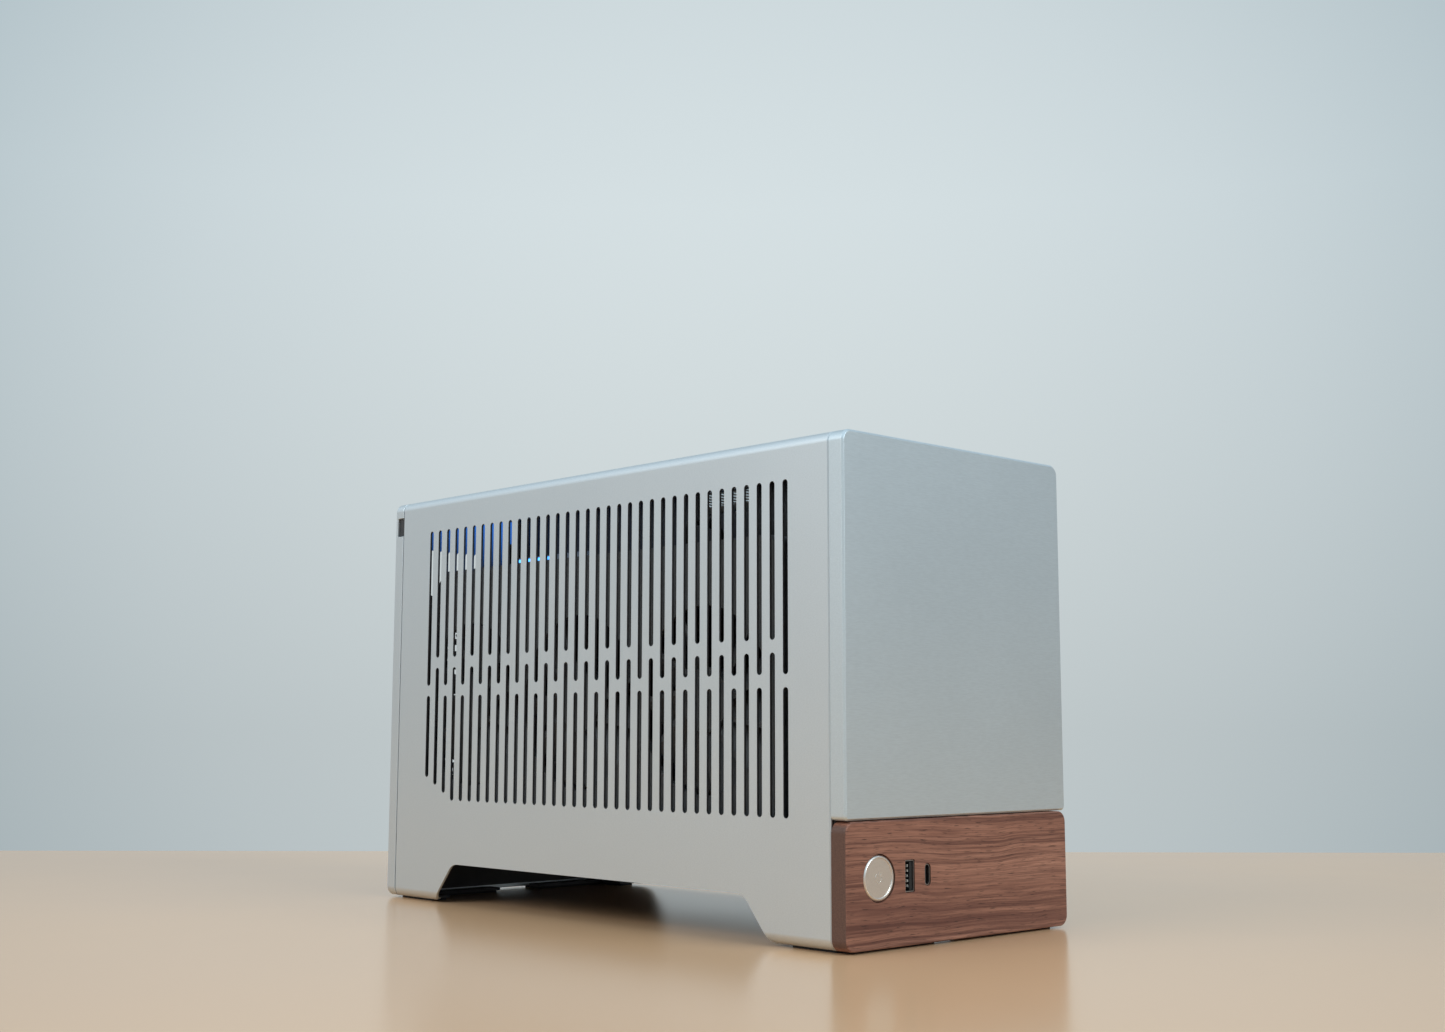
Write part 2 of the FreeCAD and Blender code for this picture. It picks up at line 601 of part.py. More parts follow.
def spine_plate():
    """Upright sheet between the two halves, up to the top rail, with end lips and cable windows."""
    plate = box(SPINE_X0, SPINE_X1, FRONT_INNER, REAR_INNER, TRAY_Z1, Z_IN)
    lips = [box(SPINE_X0 - 10, SPINE_X0, a, b, TRAY_Z1, 200.0)
            for a, b in ((FRONT_INNER, FRONT_INNER + SHEET), (REAR_INNER - SHEET, REAR_INNER))]
    riser_gap = box(SPINE_X0 - 1, SPINE_X1 + 1, 52, 148, TRAY_Z1 - 1, 34.0)
    lead_gap = box(SPINE_X0 - 1, SPINE_X1 + 1, -156, -108, 26.0, 60.0)
    cable_gap = box(SPINE_X0 - 1, SPINE_X1 + 1, -26, -12, 110.0, 170.0)
    top_gap = box(SPINE_X0 - 1, SPINE_X1 + 1, *TOP_GAP_Y, TOP_GAP_Z, HEIGHT)
    block_gaps = [box(SPINE_X0 - 1, SPINE_X1 + 1, a, b, RAIL_BLOCK_Z - 1, HEIGHT)
                  for a, b in ((-Y_END, -ROLL_END), (ROLL_END, Y_END))]
    slots = [slab("yz", y - 3, y + 3, 60.0, 90.0, 2.9, SPINE_X0 - 1, SPINE_X1 + 1)
             for y in range(10, 140, 14)]
    return joined([plate] + lips).cut([riser_gap, lead_gap, cable_gap, top_gap] + block_gaps + slots)


# Fans turn about an X axis; every rotor is built about the origin and then moved into place

def fan_rotor(x, y, z, hub_r, tip_r, depth, blades, shaft):
    """Hub, slanted blades and a shaft that points to +X (shaft > 0) or -X (shaft < 0)."""
    hub = rod((-depth / 2, 0, 0), (depth / 2, 0, 0), hub_r)
    space = rod((-depth / 2 + 1, 0, 0), (depth / 2 - 1, 0, 0), tip_r)
    parts = [hub]
    for i in range(blades):
        blade = box(-depth, depth, -0.8, 0.8, hub_r - 2, tip_r + 2)
        blade.rotate(V(0, 0, 0), V(0, 0, 1), 48)
        blade.rotate(V(0, 0, 0), V(1, 0, 0), 360.0 * i / blades)
        parts.append(blade.common(space))
    end = depth / 2 + abs(shaft)
    parts.append(rod((0, 0, 0), (end if shaft > 0 else -end, 0, 0), 1.5))
    rotor = joined(parts)
    rotor.translate(V(x, y, z))
    return rotor


def fan_carrier(x0, x1, y, z, disc_r, reach, arm_w):
    """Disc on two crossed arms that carries a fan's bearing."""
    disc = rod((x0, y, z), (x1, y, z), disc_r)
    arms = [box(x0, x1, y - arm_w, y + arm_w, z - reach, z + reach),
            box(x0, x1, y - reach, y + reach, z - arm_w, z + arm_w)]
    bearing = rod((x0 - 1, y, z), (x1 + 1, y, z), 1.55)
    return joined([disc] + arms).cut(bearing)


# Mainboard

def mainboard():
    plate = box(BOARD_X0, BOARD_X1, BOARD_Y0, BOARD_Y1, BOARD_Z0, BOARD_Z1)
    return plate.cut([rod((BOARD_X0 - 1, y, z), (BOARD_X1 + 1, y, z), 1.6) for y, z in BOARD_HOLES])


def board_standoffs():
    return [rod((SPINE_X1, y, z), (BOARD_X0, y, z), 2.8).cut(rod((SPINE_X1, y, z), (BOARD_X0, y, z), 1.4))
            for y, z in BOARD_HOLES]


def board_screws():
    return [joined([rod((BOARD_X0 - 4, y, z), (BOARD_X1 + 0.1, y, z), 1.4),
                    rod((BOARD_X1, y, z), (BOARD_X1 + 1.8, y, z), 2.8)]) for y, z in BOARD_HOLES]


def board_sockets():
    """Memory sockets, card slot, power sockets and processor socket, as separate solids."""
    x = BOARD_X1
    found = []
    for y in (2.0, 12.0):
        socket = box(x, x + 6, y, y + 6.5, 58.0, 194.0)
        found.append(socket.cut(box(x + 1, x + 7, y + 2.25, y + 4.25, 59.0, 193.0)))
    slot = box(x, x + 11, 52.0, 141.0, 37.0, 44.5)
    found.append(slot.cut(box(x + 2, x + 12, 54.0, 139.0, 39.7, 41.8)))
    found.append(box(x, x + 8, -8.5, -0.5, 89.0, 142.0))
    found.append(box(x, x + 8, -8.5, -0.5, 47.5, 56.5))
    found.append(box(x, x + 2.4, CPU_Y - 22, CPU_Y + 22, CPU_Z - 22, CPU_Z + 22))
    return found


def memory_modules():
    x = BOARD_X1
    modules = []
    for y in (2.0, 12.0):
        card = box(x + 1.3, x + 34, y + 2.55, y + 3.95, 59.3, 192.7)
        cover = box(x + 7, x + 36, y + 0.9, y + 5.6, 59.3, 192.7)
        modules.append(joined([card, cover]))
    return modules


def drive_cooler():
    """Finned cover over the M.2 drive."""
    x = BOARD_X1
    base = box(x, x + 5.0, 30.0, 112.0, 50.0, 73.0)
    fins = [box(x + 4.9, x + 9.0, 32.0 + i * 5, 34.5 + i * 5, 51.0, 72.0) for i in range(16)]
    return joined([base] + fins)


def regulator_cooler():
    x = BOARD_X1
    base = box(x, x + 6.0, 127.0, 141.0, 84.0, 192.0)
    fins = [box(x + 5.9, x + 30.0, 128.0, 140.0, 85.0 + i * 6, 88.5 + i * 6) for i in range(18)]
    return joined([base] + fins)


def processor():
    return box(BOARD_X1 + 2.4, BOARD_X1 + 5.9, CPU_Y - 18.7, CPU_Y + 18.7, CPU_Z - 18.7, CPU_Z + 18.7)


def cooler_base():
    return box(BOARD_X1 + 5.9, COOLER_X0, CPU_Y - 24, CPU_Y + 24, CPU_Z - 24, CPU_Z + 24)


def cooler_fins():
    half = COOLER_W / 2
    base = box(COOLER_X0, COOLER_X0 + 2.5, CPU_Y - half, CPU_Y + half, CPU_Z - half, CPU_Z + half)
    count = 26
    pitch = (COOLER_W - 1) / (count - 1)
    fins = [box(COOLER_X0 + 2.4, COOLER_X1, CPU_Y - half, CPU_Y + half, CPU_Z - half + i * pitch,
                CPU_Z - half + i * pitch + 1) for i in range(count)]
    return joined([base] + fins)


def cpu_fan_frame():
    half = COOLER_W / 2
    block = slab("yz", CPU_Y - half, CPU_Y + half, CPU_Z - half, CPU_Z + half, 5.0, COOLER_X1, CPU_FAN_X1)
    block = block.cut(rod((COOLER_X1 - 1, CPU_Y, CPU_Z), (CPU_FAN_X1 + 1, CPU_Y, CPU_Z), CPU_FAN_R + 1.0))
    corners = []
    for y in (CPU_Y - FAN_SCREW, CPU_Y + FAN_SCREW):
        for z in (CPU_Z - FAN_SCREW, CPU_Z + FAN_SCREW):
            corners.append(rod((COOLER_X1 - 1, y, z), (CPU_FAN_X1 + 1, y, z), 2.1))
    carrier = fan_carrier(COOLER_X1, COOLER_X1 + 2, CPU_Y, CPU_Z, 15.0, 44.5, 2.0)
    return joined([block, carrier]).cut(corners)


def cpu_fan_rotor():
    x0 = COOLER_X1 + 2.6
    x1 = CPU_FAN_X1 - 0.4
    return fan_rotor((x0 + x1) / 2, CPU_Y, CPU_Z, 16.0, CPU_FAN_R, x1 - x0, 9, -2.2)


# Power supply

def psu_case():
    """Sheet box with a round fan opening, rear cable outlet and inlet cut-outs."""
    t = 1.2
    outer = box(PSU_X0, PSU_X1, PSU_Y0, PSU_Y1, PSU_Z0, PSU_Z1)
    inner = box(PSU_X0 + t, PSU_X1 - t, PSU_Y0 + t, PSU_Y1 - t, PSU_Z0 + t, PSU_Z1 - t)
    fan_hole = rod((PSU_X1 - 2, PSU_Y, PSU_Z), (PSU_X1 + 1, PSU_Y, PSU_Z), PSU_FAN_R + 1.5)
    inlet_hole = box(PLUG_X - 13.8, PLUG_X + 13.8, PSU_Y0 - 1, PSU_Y0 + 2, PLUG_Z - 10, PLUG_Z + 10)
    switch_hole = box(SWITCH_X - 7.2, SWITCH_X + 7.2, PSU_Y0 - 1, PSU_Y0 + 2, PLUG_Z - 11.2, PLUG_Z + 11.2)
    vents = [slab("xz", x - 2, x + 2, z, z + 16, 1.9, PSU_Y0 - 1, PSU_Y0 + 2)
             for x in range(18, 68, 7) for z in (124, 146, 168)]
    carrier = fan_carrier(PSU_X1 - 16.0, PSU_X1 - 14.5, PSU_Y, PSU_Z, 14.0, 49.2, 3.0)
    return joined([outer.cut([inner, fan_hole, inlet_hole, switch_hole] + vents), carrier])


def psu_fan_grille():
    """Rings on four spokes over the fan opening."""
    x0, x1 = PSU_X1, PSU_X1 + 1.4
    parts = []
    for i in range(6):
        r = 9.0 + i * 6.7
        ring = rod((x0, PSU_Y, PSU_Z), (x1, PSU_Y, PSU_Z), r + 0.7)
        parts.append(ring.cut(rod((x0 - 1, PSU_Y, PSU_Z), (x1 + 1, PSU_Y, PSU_Z), r - 0.7)))
    for angle in (45, 135):
        spoke = box(x0, x1, PSU_Y - 44, PSU_Y + 44, PSU_Z - 0.8, PSU_Z + 0.8)
        spoke.rotate(V(x0, PSU_Y, PSU_Z), V(1, 0, 0), angle)
        parts.append(spoke)
    return joined(parts)


def psu_fan_rotor():
    x0 = PSU_X1 - 13.9
    x1 = PSU_X1 - 1.8
    return fan_rotor((x0 + x1) / 2, PSU_Y, PSU_Z, 15.0, PSU_FAN_R - 0.5, x1 - x0, 11, -1.9)


def psu_inlet():
    """Appliance inlet of the power supply, open to the front."""
    x, z, y = PLUG_X, PLUG_Z, PSU_Y0
    body = box(x - 13.6, x + 13.6, y - 1.0, y + 21, z - 9.8, z + 9.8)
    socket = prism("xz", [(x - 12, z - 8), (x + 12, z - 8), (x + 12, z + 4), (x + 8, z + 8), (x - 8, z + 8),
                          (x - 12, z + 4)], y - 2, y + 16)
    blades = [box(x + dx - 1, x + dx + 1, y + 3, y + 17, z + dz - 2, z + dz + 2)
              for dx, dz in ((-7, -2), (7, -2), (0, 3))]
    return joined([body.cut(socket)] + blades)


def psu_plug():
    """Plug of the inner mains lead, seated in the inlet; its cable leaves downwards."""
    x, z, y = PLUG_X, PLUG_Z, PSU_Y0
    body = slab("xz", x - 12.5, x + 12.5, z - 9, z + 9, 3.0, y - 22, y - 1.4)
    nose = prism("xz", [(x - 11.6, z - 7.6), (x + 11.6, z - 7.6), (x + 11.6, z + 3.7), (x + 7.7, z + 7.6),
                        (x - 7.7, z + 7.6), (x - 11.6, z + 3.7)], y - 1.5, y + 11)
    slots = [box(x + dx - 1.3, x + dx + 1.3, y - 3, y + 18, z + dz - 2.3, z + dz + 2.3)
             for dx, dz in ((-7, -2), (7, -2), (0, 3))]
    relief = rod((x, LEAD_Y, z - 16), (x, LEAD_Y, z - 8.9), 5.0)
    return joined([joined([body, nose]).cut(slots), relief])


def psu_switch_frame():
    x, z = SWITCH_X, PLUG_Z
    outer = box(x - 7.0, x + 7.0, PSU_Y0 - 1.2, PSU_Y0 + 10, z - 11.0, z + 11.0)
    mouth = box(x - 5.6, x + 5.6, PSU_Y0 - 2, PSU_Y0 + 8.5, z - 9.8, z + 9.8)
    bore = rod((x - 8, SWITCH_Y, z), (x + 8, SWITCH_Y, z), 1.05)
    return outer.cut([mouth, bore])


def psu_switch():
    """Rocker with a hollow front, resting with its upper end out."""
    x, y, z = SWITCH_X, SWITCH_Y, PLUG_Z
    outline = [(y - 6.4, z + 8.3, 0.6), (y - 5.2, z), (y - 6.4, z - 8.3, 0.6), (y - 1, z - 8.3, 0.6),
               (y + 2.2, z, 2.0), (y - 1, z + 8.3, 0.6)]
    rocker = prism("yz", outline, x - 5.3, x + 5.3)
    pin = rod((x - 6.8, y, z), (x + 6.8, y, z), 1.0)
    whole = joined([rocker, pin])
    whole.rotate(V(x, y, z), V(1, 0, 0), SWITCH_TILT)
    return whole


def psu_bracket():
    plate = box(7.0, PSU_X1, PSU_Y0 - 1.3, PSU_Y0, PSU_Z0, PSU_Z1)
    flange = box(SPINE_X1, 7.1, PSU_Y0 - 1.3, PSU_Y0 + 24, PSU_Z0, PSU_Z1)
    window = box(9.6, 56.5, PSU_Y0 - 2, PSU_Y0 + 1, PLUG_Z - 12, PLUG_Z + 12)
    air = box(14.0, 68.0, PSU_Y0 - 2, PSU_Y0 + 1, 122.0, 186.0)
    return joined([plate, flange]).cut([window, air])


# Graphics card

def gpu_board():
    plate = box(GPU_BOARD - BOARD_T, GPU_BOARD, -95.0, 160.0, 50.0, 158.0)
    tongue = box(GPU_BOARD - BOARD_T, GPU_BOARD, 60.0, 145.0, 41.0, 50.1)
    return joined([plate, tongue])


def gpu_chips():
    """Processor and memory packages between the card's board and its heat sink."""
    x0, x1 = -17.0, GPU_BOARD - BOARD_T
    y, z = 18.0, 105.0
    core = box(x0, x1, y - 18, y + 18, z - 18, z + 18)
    around = [(-34, -24), (-34, 0), (-34, 24), (34, -24), (34, 0), (34, 24), (-12, 32), (12, 32)]
    return [core] + [box(x0, x1, y + a - 6, y + a + 6, z + b - 7, z + b + 7) for a, b in around]


def gpu_fins():
    base = box(-20.0, -17.0, -112.0, 138.0, 52.0, 158.0)
    fins = [box(-47.5, -19.9, -111.0 + i * 4.6, -109.8 + i * 4.6, 52.0, 158.0) for i in range(54)]
    return joined([base] + fins)


def gpu_outline(inset, x0, x1):
    """Side outline of the graphics card, sloping down at its rear end."""
    y0, y1, z0 = GPU_Y0 + inset, GPU_Y1 - inset, GPU_Z0 + inset
    corners = [(y0, z0, 4), (y1, z0, 2), (y1, GPU_SLOPE_Z - inset / 2, 2),
               (GPU_SLOPE_Y - inset / 2, GPU_Z1 - inset, 8), (y0, GPU_Z1 - inset, 4)]
    return prism("yz", corners, x0, x1)


def gpu_shroud():
    """Cover of the graphics card with three fan openings, open to the rear and to the board."""
    outer = gpu_outline(0, GPU_FACE, -22.0)
    inner = gpu_outline(2.0, GPU_FACE + 2.4, -21.0)
    rear = box(GPU_FACE + 2.4, -21.0, GPU_Y1 - 6, GPU_Y1 + 1, GPU_Z0 + 2, GPU_SLOPE_Z - 2)
    holes = [rod((GPU_FACE - 1, y, GPU_FAN_Z), (GPU_FACE + 4, y, GPU_FAN_Z), GPU_FAN_R + 1.5)
             for y in GPU_FAN_Y]
    socket_gap = box(-31.5, -20.0, -29.5, -6.5, 170.0, GPU_Z1 + 1)
    carriers = []
    for y in GPU_FAN_Y:
        disc = rod((-51.0, y, GPU_FAN_Z), (-49.0, y, GPU_FAN_Z), 14.0)
        arm = box(-51.0, -49.0, y - 3.5, y + 3.5, GPU_Z0 + 1, GPU_Z1 - 1)
        carriers.append(joined([disc, arm]).cut(rod((-52, y, GPU_FAN_Z), (-48, y, GPU_FAN_Z), 1.55)))
    return joined([outer.cut([inner, rear, socket_gap] + holes)] + carriers)


def gpu_fan_rotor(index):
    x0, x1 = GPU_FACE + 1.0, -51.6
    return fan_rotor((x0 + x1) / 2, GPU_FAN_Y[index], GPU_FAN_Z, 15.0, GPU_FAN_R, x1 - x0, 11, 2.3)


def gpu_backplate():
    plate = slab("yz", -110.0, 156.0, 50.0, 160.0, 4.0, GPU_BACK - 1.0, GPU_BACK + 0.2)
    slots = [slab("yz", y - 2, y + 2, 70.0, 140.0, 1.9, GPU_BACK - 2, GPU_BACK + 1)
             for y in range(-100, -50, 8)]
    spacers = [rod((GPU_BOARD, y, z), (GPU_BACK - 0.9, y, z), 2.5)
               for y in (-88, 50, 150) for z in (56, 152)]
    return joined([plate.cut(slots)] + spacers)


def gpu_outlets():
    """Display connectors as (z0, z1), from the bottom up."""
    return [(54.0 + i * 26.0, 70.5 + i * 26.0) for i in range(4)]


def gpu_bracket():
    """Two-slot metal bracket on the outside of the rear plate."""
    x0 = BRACKET_X1 - 15.0 - BRACKET_PITCH
    plate = box(x0, BRACKET_X1, Y_END, Y_END + 1.0, 45.0, 163.0)
    cuts = [box(-22.6, -13.2, Y_END - 1, Y_END + 2, a - 0.4, b + 0.4) for a, b in gpu_outlets()]
    cuts += [slab("xz", -45.0, -34.5, 52.0 + i * 7, 55.5 + i * 7, 1.7, Y_END - 1, Y_END + 2)
             for i in range(15)]
    return plate.cut(cuts)


def gpu_connectors():
    found = []
    for a, b in gpu_outlets():
        shell = box(-22.2, GPU_BOARD - BOARD_T, 143.0, Y_END + 0.8, a, b)
        found.append(shell.cut(box(-21.4, -14.6, Y_END - 8, Y_END + 2, a + 0.8, b - 0.8)))
    return found


def light_bar():
    """Lit strip on the upper edge of the graphics card."""
    return slab("xy", -54.0, -46.0, *LIGHT_Y, 2.0, GPU_Z1, GPU_Z1 + 4.5)


def riser_socket():
    """Card socket that stands on the tray and takes the graphics card's edge."""
    body = box(-19.0, -7.0, 55.0, 150.0, 33.0, 47.0)
    ends = [box(-19.0, -7.0, a, b, TRAY_Z1, 47.0) for a, b in ((50.0, 55.1), (149.9, 155.0))]
    groove = box(-13.9, -11.7, 59.0, 146.0, 40.0, 48.0)
    return joined([body] + ends).cut(groove)


def riser_plug():
    x = BOARD_X1 + 11.0
    body = box(x, x + 11.0, 52.0, 141.0, 36.5, 45.0)
    tongue = box(x - 8.0, x + 0.1, 54.5, 138.5, 39.95, 41.55)
    return joined([body, tongue])


def riser_cable():
    """Flat cable from the riser plug under the spine to the riser socket."""
    x0, x1 = -13.0, BOARD_X1 + 16.0
    z0, t = 27.5, 0.6
    corners = [(x1 + t, 36.5), (x1 + t, z0 - t, 5 + t), (x0 - t, z0 - t, 5 + t), (x0 - t, 33.0),
               (x0 + t, 33.0), (x0 + t, z0 + t, 5 - t), (x1 - t, z0 + t, 5 - t), (x1 - t, 36.5)]
    return prism("xz", corners, 60.0, 136.0)


# Round cables: straight runs joined by tangent arcs

def cable(points, diameter):
    """A round cable along a route; every bend is as large as its shorter run allows."""
    route = [V(*p) for p in points]
    edges = []
    start = route[0]
    for i in range(1, len(route) - 1):
        back = route[i - 1] - route[i]
        ahead = route[i + 1] - route[i]
        reach = 0.45 * min(back.Length, ahead.Length)
        back.normalize()
        ahead.normalize()
        half = back.getAngle(ahead) / 2
        r = reach * tan(half)
        middle = route[i] + (back + ahead).normalize() * (r / sin(half) - r)
        a = route[i] + back * reach
        b = route[i] + ahead * reach
        edges.append(Part.LineSegment(start, a).toShape())
        edges.append(Part.Arc(a, middle, b).toShape())
        start = b
    edges.append(Part.LineSegment(start, route[-1]).toShape())
    path = Part.Wire(edges)
    ring = Part.Wire(Part.makeCircle(diameter / 2, route[0], route[1] - route[0]))
    tube = path.makePipeShell([ring], True, False)
    expected = pi * diameter ** 2 / 4 * path.Length
    print("cable", round(path.Length, 1), "volume ratio", round(tube.Volume / expected, 3))
    return tube


def mains_lead():
    z = INLET_Z
    return cable([(PLUG_X, LEAD_Y, PLUG_Z - 16), (PLUG_X, LEAD_Y, z + 10), (PLUG_X - 10, LEAD_Y, z),
                  (INLET_X + 14, LEAD_Y, z), (INLET_X, LEAD_Y + 14, z), (INLET_X, Y_END - 22, z)], 6.5)


def board_cables():
    """Six leads from the power supply to the mainboard's power socket."""
    return [cable([(46.0, PSU_Y1, z), (46.0, -4.5, z), (34.0, -4.5, z)], 3.4)
            for z in (95.0, 103.0, 111.0, 119.0, 127.0, 135.0)]


def board_plugs():
    """Plugs on the mainboard's power socket and on its front-port socket."""
    x = BOARD_X1 + 8.0
    return [box(x, 34.0, -8.5, -0.5, 90.0, 141.0), box(x, 30.0, -8.5, -0.5, 48.0, 56.0)]


def gpu_cable():
    return cable([(30.0, PSU_Y1, 150.0), (30.0, -18.5, 150.0), (-3.0, -18.5, 150.0), (-3.0, -18.5, 197.0),
                  (-24.5, -18.5, 197.0), (-24.5, -18.5, 184.0)], 5.0)


def gpu_plug():
    return box(-30.5, -18.5, -28.5, -8.5, 159.0, 184.0)


def port_cable():
    y = PORT_BOARD_Y + BOARD_T + 7.0
    return cable([(-28.0, y, 41.5), (-28.0, -127.0, 41.5), (-16.0, -118.0, 41.5), (28.0, -112.0, 41.5),
                  (42.0, -98.0, 44.0), (42.0, -18.0, 50.0), (40.0, -4.5, 52.0), (30.0, -4.5, 52.0)], 4.0)


# Screws: each is (head point, direction into the part)

def screw_places():
    places = []
    for x in (-30.0, 30.0):
        places.append(((x, FRONT_INNER + SHEET, LIP_SCREW_Z), (0, -1, 0)))
        places.append(((x, REAR_INNER - SHEET, LIP_SCREW_Z), (0, 1, 0)))
    for z in (60.0, 120.0, 180.0):
        places.append(((SPINE_X0 - 5, FRONT_INNER + SHEET, z), (0, -1, 0)))
        places.append(((SPINE_X0 - 5, REAR_INNER - SHEET, z), (0, 1, 0)))
    for z in (74.0, 187.0):
        places.append(((13.0, PSU_Y0 - 1.3, z), (0, 1, 0)))
        places.append(((66.0, PSU_Y0 - 1.3, z), (0, 1, 0)))
    return places


def case_screws():
    found = []
    for point, direction in screw_places():
        p, d = V(*point), V(*direction)
        head = Part.makeCylinder(2.8, 1.8, p - d * 1.8, d)
        socket = Part.makeCylinder(1.3, 1.2, p - d * 1.9, d)
        shank = Part.makeCylinder(1.4, 2.6, p - d * 0.1, d)
        found.append(joined([head, shank]).cut(socket))
    return found


def drilled(shape):
    """The shape with the holes of the case screws."""
    holes = []
    for point, direction in screw_places():
        p, d = V(*point), V(*direction)
        holes.append(Part.makeCylinder(1.4, 2.7, p - d * 0.1, d))
    return shape.cut(holes)


def main():
    os.makedirs("parts", exist_ok=True)
    left = door()
    clips = clip_sockets()
    nodes = {
        "door_left": left,
        "door_right": left.mirror(V(0, 0, 0), V(1, 0, 0)),
        "door_left_clips": clips,
        "door_right_clips": [c.mirror(V(0, 0, 0), V(1, 0, 0)) for c in clips],
        "door_studs": studs(),
        "top_rail": top_rail(),
        "hinge_pins": hinge_pins(),
        "front_cover": front_cover(),
        "walnut_block": walnut_block(),
        "power_button": power_button(),
        "usb_a_shell": usb_a_shell(),
        "usb_c_shell": usb_c_shell(),
        "usb_tongues": [usb_a_tongue(), usb_c_tongue()],
        "usb_a_contacts": usb_contacts(),
        "port_board": [port_board(), button_switch()],
        "front_frame": drilled(front_frame()),
        "rear_bezel": rear_bezel(),
        "lock_tabs": lock_tabs(),
        "rear_plate": drilled(rear_plate()),
        "io_shield": io_shield(),
        "io_connectors": io_connectors(),
        "mains_inlet": mains_inlet(),
        "bottom_tray": drilled(bottom_tray()),
        "chassis_feet": chassis_feet(),
        "rubber_pads": rubber_pads(),
        "spine_plate": drilled(spine_plate()),
        "screws": case_screws() + board_screws(),
        "mainboard": mainboard(),
        "board_standoffs": board_standoffs(),
        "board_sockets": board_sockets(),
        "memory_modules": memory_modules(),
        "board_coolers": [drive_cooler(), regulator_cooler()],
        "processor": processor(),
        "cooler_base": cooler_base(),
        "cooler_fins": cooler_fins(),
        "cpu_fan_frame": cpu_fan_frame(),
        "cpu_fan_rotor": cpu_fan_rotor(),
        "psu_case": drilled(psu_case()),
        "psu_fan_grille": psu_fan_grille(),
        "psu_fan_rotor": psu_fan_rotor(),
        "psu_inlet": [psu_inlet(), psu_switch_frame()],
        "psu_switch": psu_switch(),
        "psu_bracket": drilled(psu_bracket()),
        "psu_plug": psu_plug(),
        "gpu_board": gpu_board(),
        "gpu_board_parts": gpu_chips() + gpu_connectors(),
        "gpu_fins": gpu_fins(),
        "gpu_shroud": gpu_shroud(),
        "gpu_backplate": gpu_backplate(),
        "gpu_bracket": gpu_bracket(),
        "light_bar": light_bar(),
        "riser_socket": riser_socket(),
        "riser_plug": riser_plug(),
        "riser_cable": riser_cable(),
        "mains_lead": mains_lead(),
        "inner_cables": board_cables() + [gpu_cable(), port_cable()],
        "cable_plugs": board_plugs() + [gpu_plug()],
    }
    for i in range(3):
        nodes["gpu_fan_%d" % (i + 1)] = gpu_fan_rotor(i)
    for name, shapes in nodes.items():
        save(name, shapes)


main()
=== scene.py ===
import json
import math

import bmesh
import bpy
from mathutils import Euler, Matrix, Vector


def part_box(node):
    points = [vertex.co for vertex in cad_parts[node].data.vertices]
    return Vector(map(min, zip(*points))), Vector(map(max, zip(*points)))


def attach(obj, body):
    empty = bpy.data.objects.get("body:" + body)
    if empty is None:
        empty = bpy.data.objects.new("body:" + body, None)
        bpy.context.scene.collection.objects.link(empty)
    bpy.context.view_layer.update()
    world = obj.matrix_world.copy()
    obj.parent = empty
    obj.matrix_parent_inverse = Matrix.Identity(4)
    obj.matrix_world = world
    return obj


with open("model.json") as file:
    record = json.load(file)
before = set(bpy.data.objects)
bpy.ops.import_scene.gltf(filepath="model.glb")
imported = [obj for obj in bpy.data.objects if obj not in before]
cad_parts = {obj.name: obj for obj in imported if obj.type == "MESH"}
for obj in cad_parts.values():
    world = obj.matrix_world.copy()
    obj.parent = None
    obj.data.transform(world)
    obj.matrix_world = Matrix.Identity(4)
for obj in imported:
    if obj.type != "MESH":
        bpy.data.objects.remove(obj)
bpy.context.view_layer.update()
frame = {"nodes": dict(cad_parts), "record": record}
nodes = frame["nodes"]

# Camera: place in metres, turns in degrees, lens and sensor in millimetres
CAMERA_AT = Vector((-0.5981, -0.6495, 0.0907))
CAMERA_YAW = 43.404
CAMERA_PITCH = 7.227
CAMERA_ROLL = 0.086
CAMERA_LENS = 42.28
CAMERA_SENSOR = 36.0
CAMERA_NEAR = 0.01

# Floor: how far it reaches from the point under the camera, in metres
FLOOR_AHEAD = 1.31
FLOOR_BEHIND = 5.0
FLOOR_ASIDE = 6.0

# Metal colours, with the painted shade inside a door's slots, and where a door's side has its slots, in
# metres
ALUMINIUM = (0.62, 0.662, 0.686)
ALUMINIUM_FRONT = (0.61, 0.675, 0.71)
SLOT_WALL_SHADE = (0.21, 0.21, 0.22)
SLOTS_Y = (-0.1368, 0.1368)
SLOTS_Z = (0.0535, 0.2)

# Walnut: colours from dark to pale, and how far its bands wander, in metres
WOOD_BANDS = [(0.30, (0.165, 0.066, 0.045)), (0.50, (0.310, 0.137, 0.088)), (0.70, (0.440, 0.214, 0.143))]
WOOD_LINE = (0.082, 0.028, 0.020)
WOOD_FIBRE = (0.105, 0.038, 0.026)
WOOD_PORE = (0.030, 0.011, 0.008)
WOOD_ENDS = ((0.060, 0.028, 0.020), (0.150, 0.078, 0.056))
WOOD_WANDER = 0.011

# Blue light, in metres: the lit part of the strip, and the part of the rear plate where the strip's blue
# light is painted on as a glow, which lies below GLOW_X and GLOW_Y and grows stronger over GLOW_Z
STRIP_Y = (0.060, 0.088)
STRIP_Z = (0.1805, 0.1815)
STRIP_FADE_Y = 0.004
STRIP_FADE_Z = 0.0005
STRIP_UNLIT = (0.004, 0.008, 0.015)
STRIP_BLUE = (0.05, 0.34, 1.0)
STRIP_STRENGTH = 3.0
GLOW_X = 0.002
GLOW_Y = 0.1622
GLOW_Z = (0.184, 0.209)
PAINTED_GLOW_BLUE = (0.035, 0.19, 0.72)
GLOW_STRENGTH = 0.85

# Edges: bevel widths and the weld distance in metres, angles in degrees
SHEET_EDGE = 0.00022
WOOD_EDGE = 0.0003
BUTTON_EDGE = 0.00012
WELD_DISTANCE = 0.000005
FLAT_ANGLE = 0.4
EDGE_ANGLE = 35.0

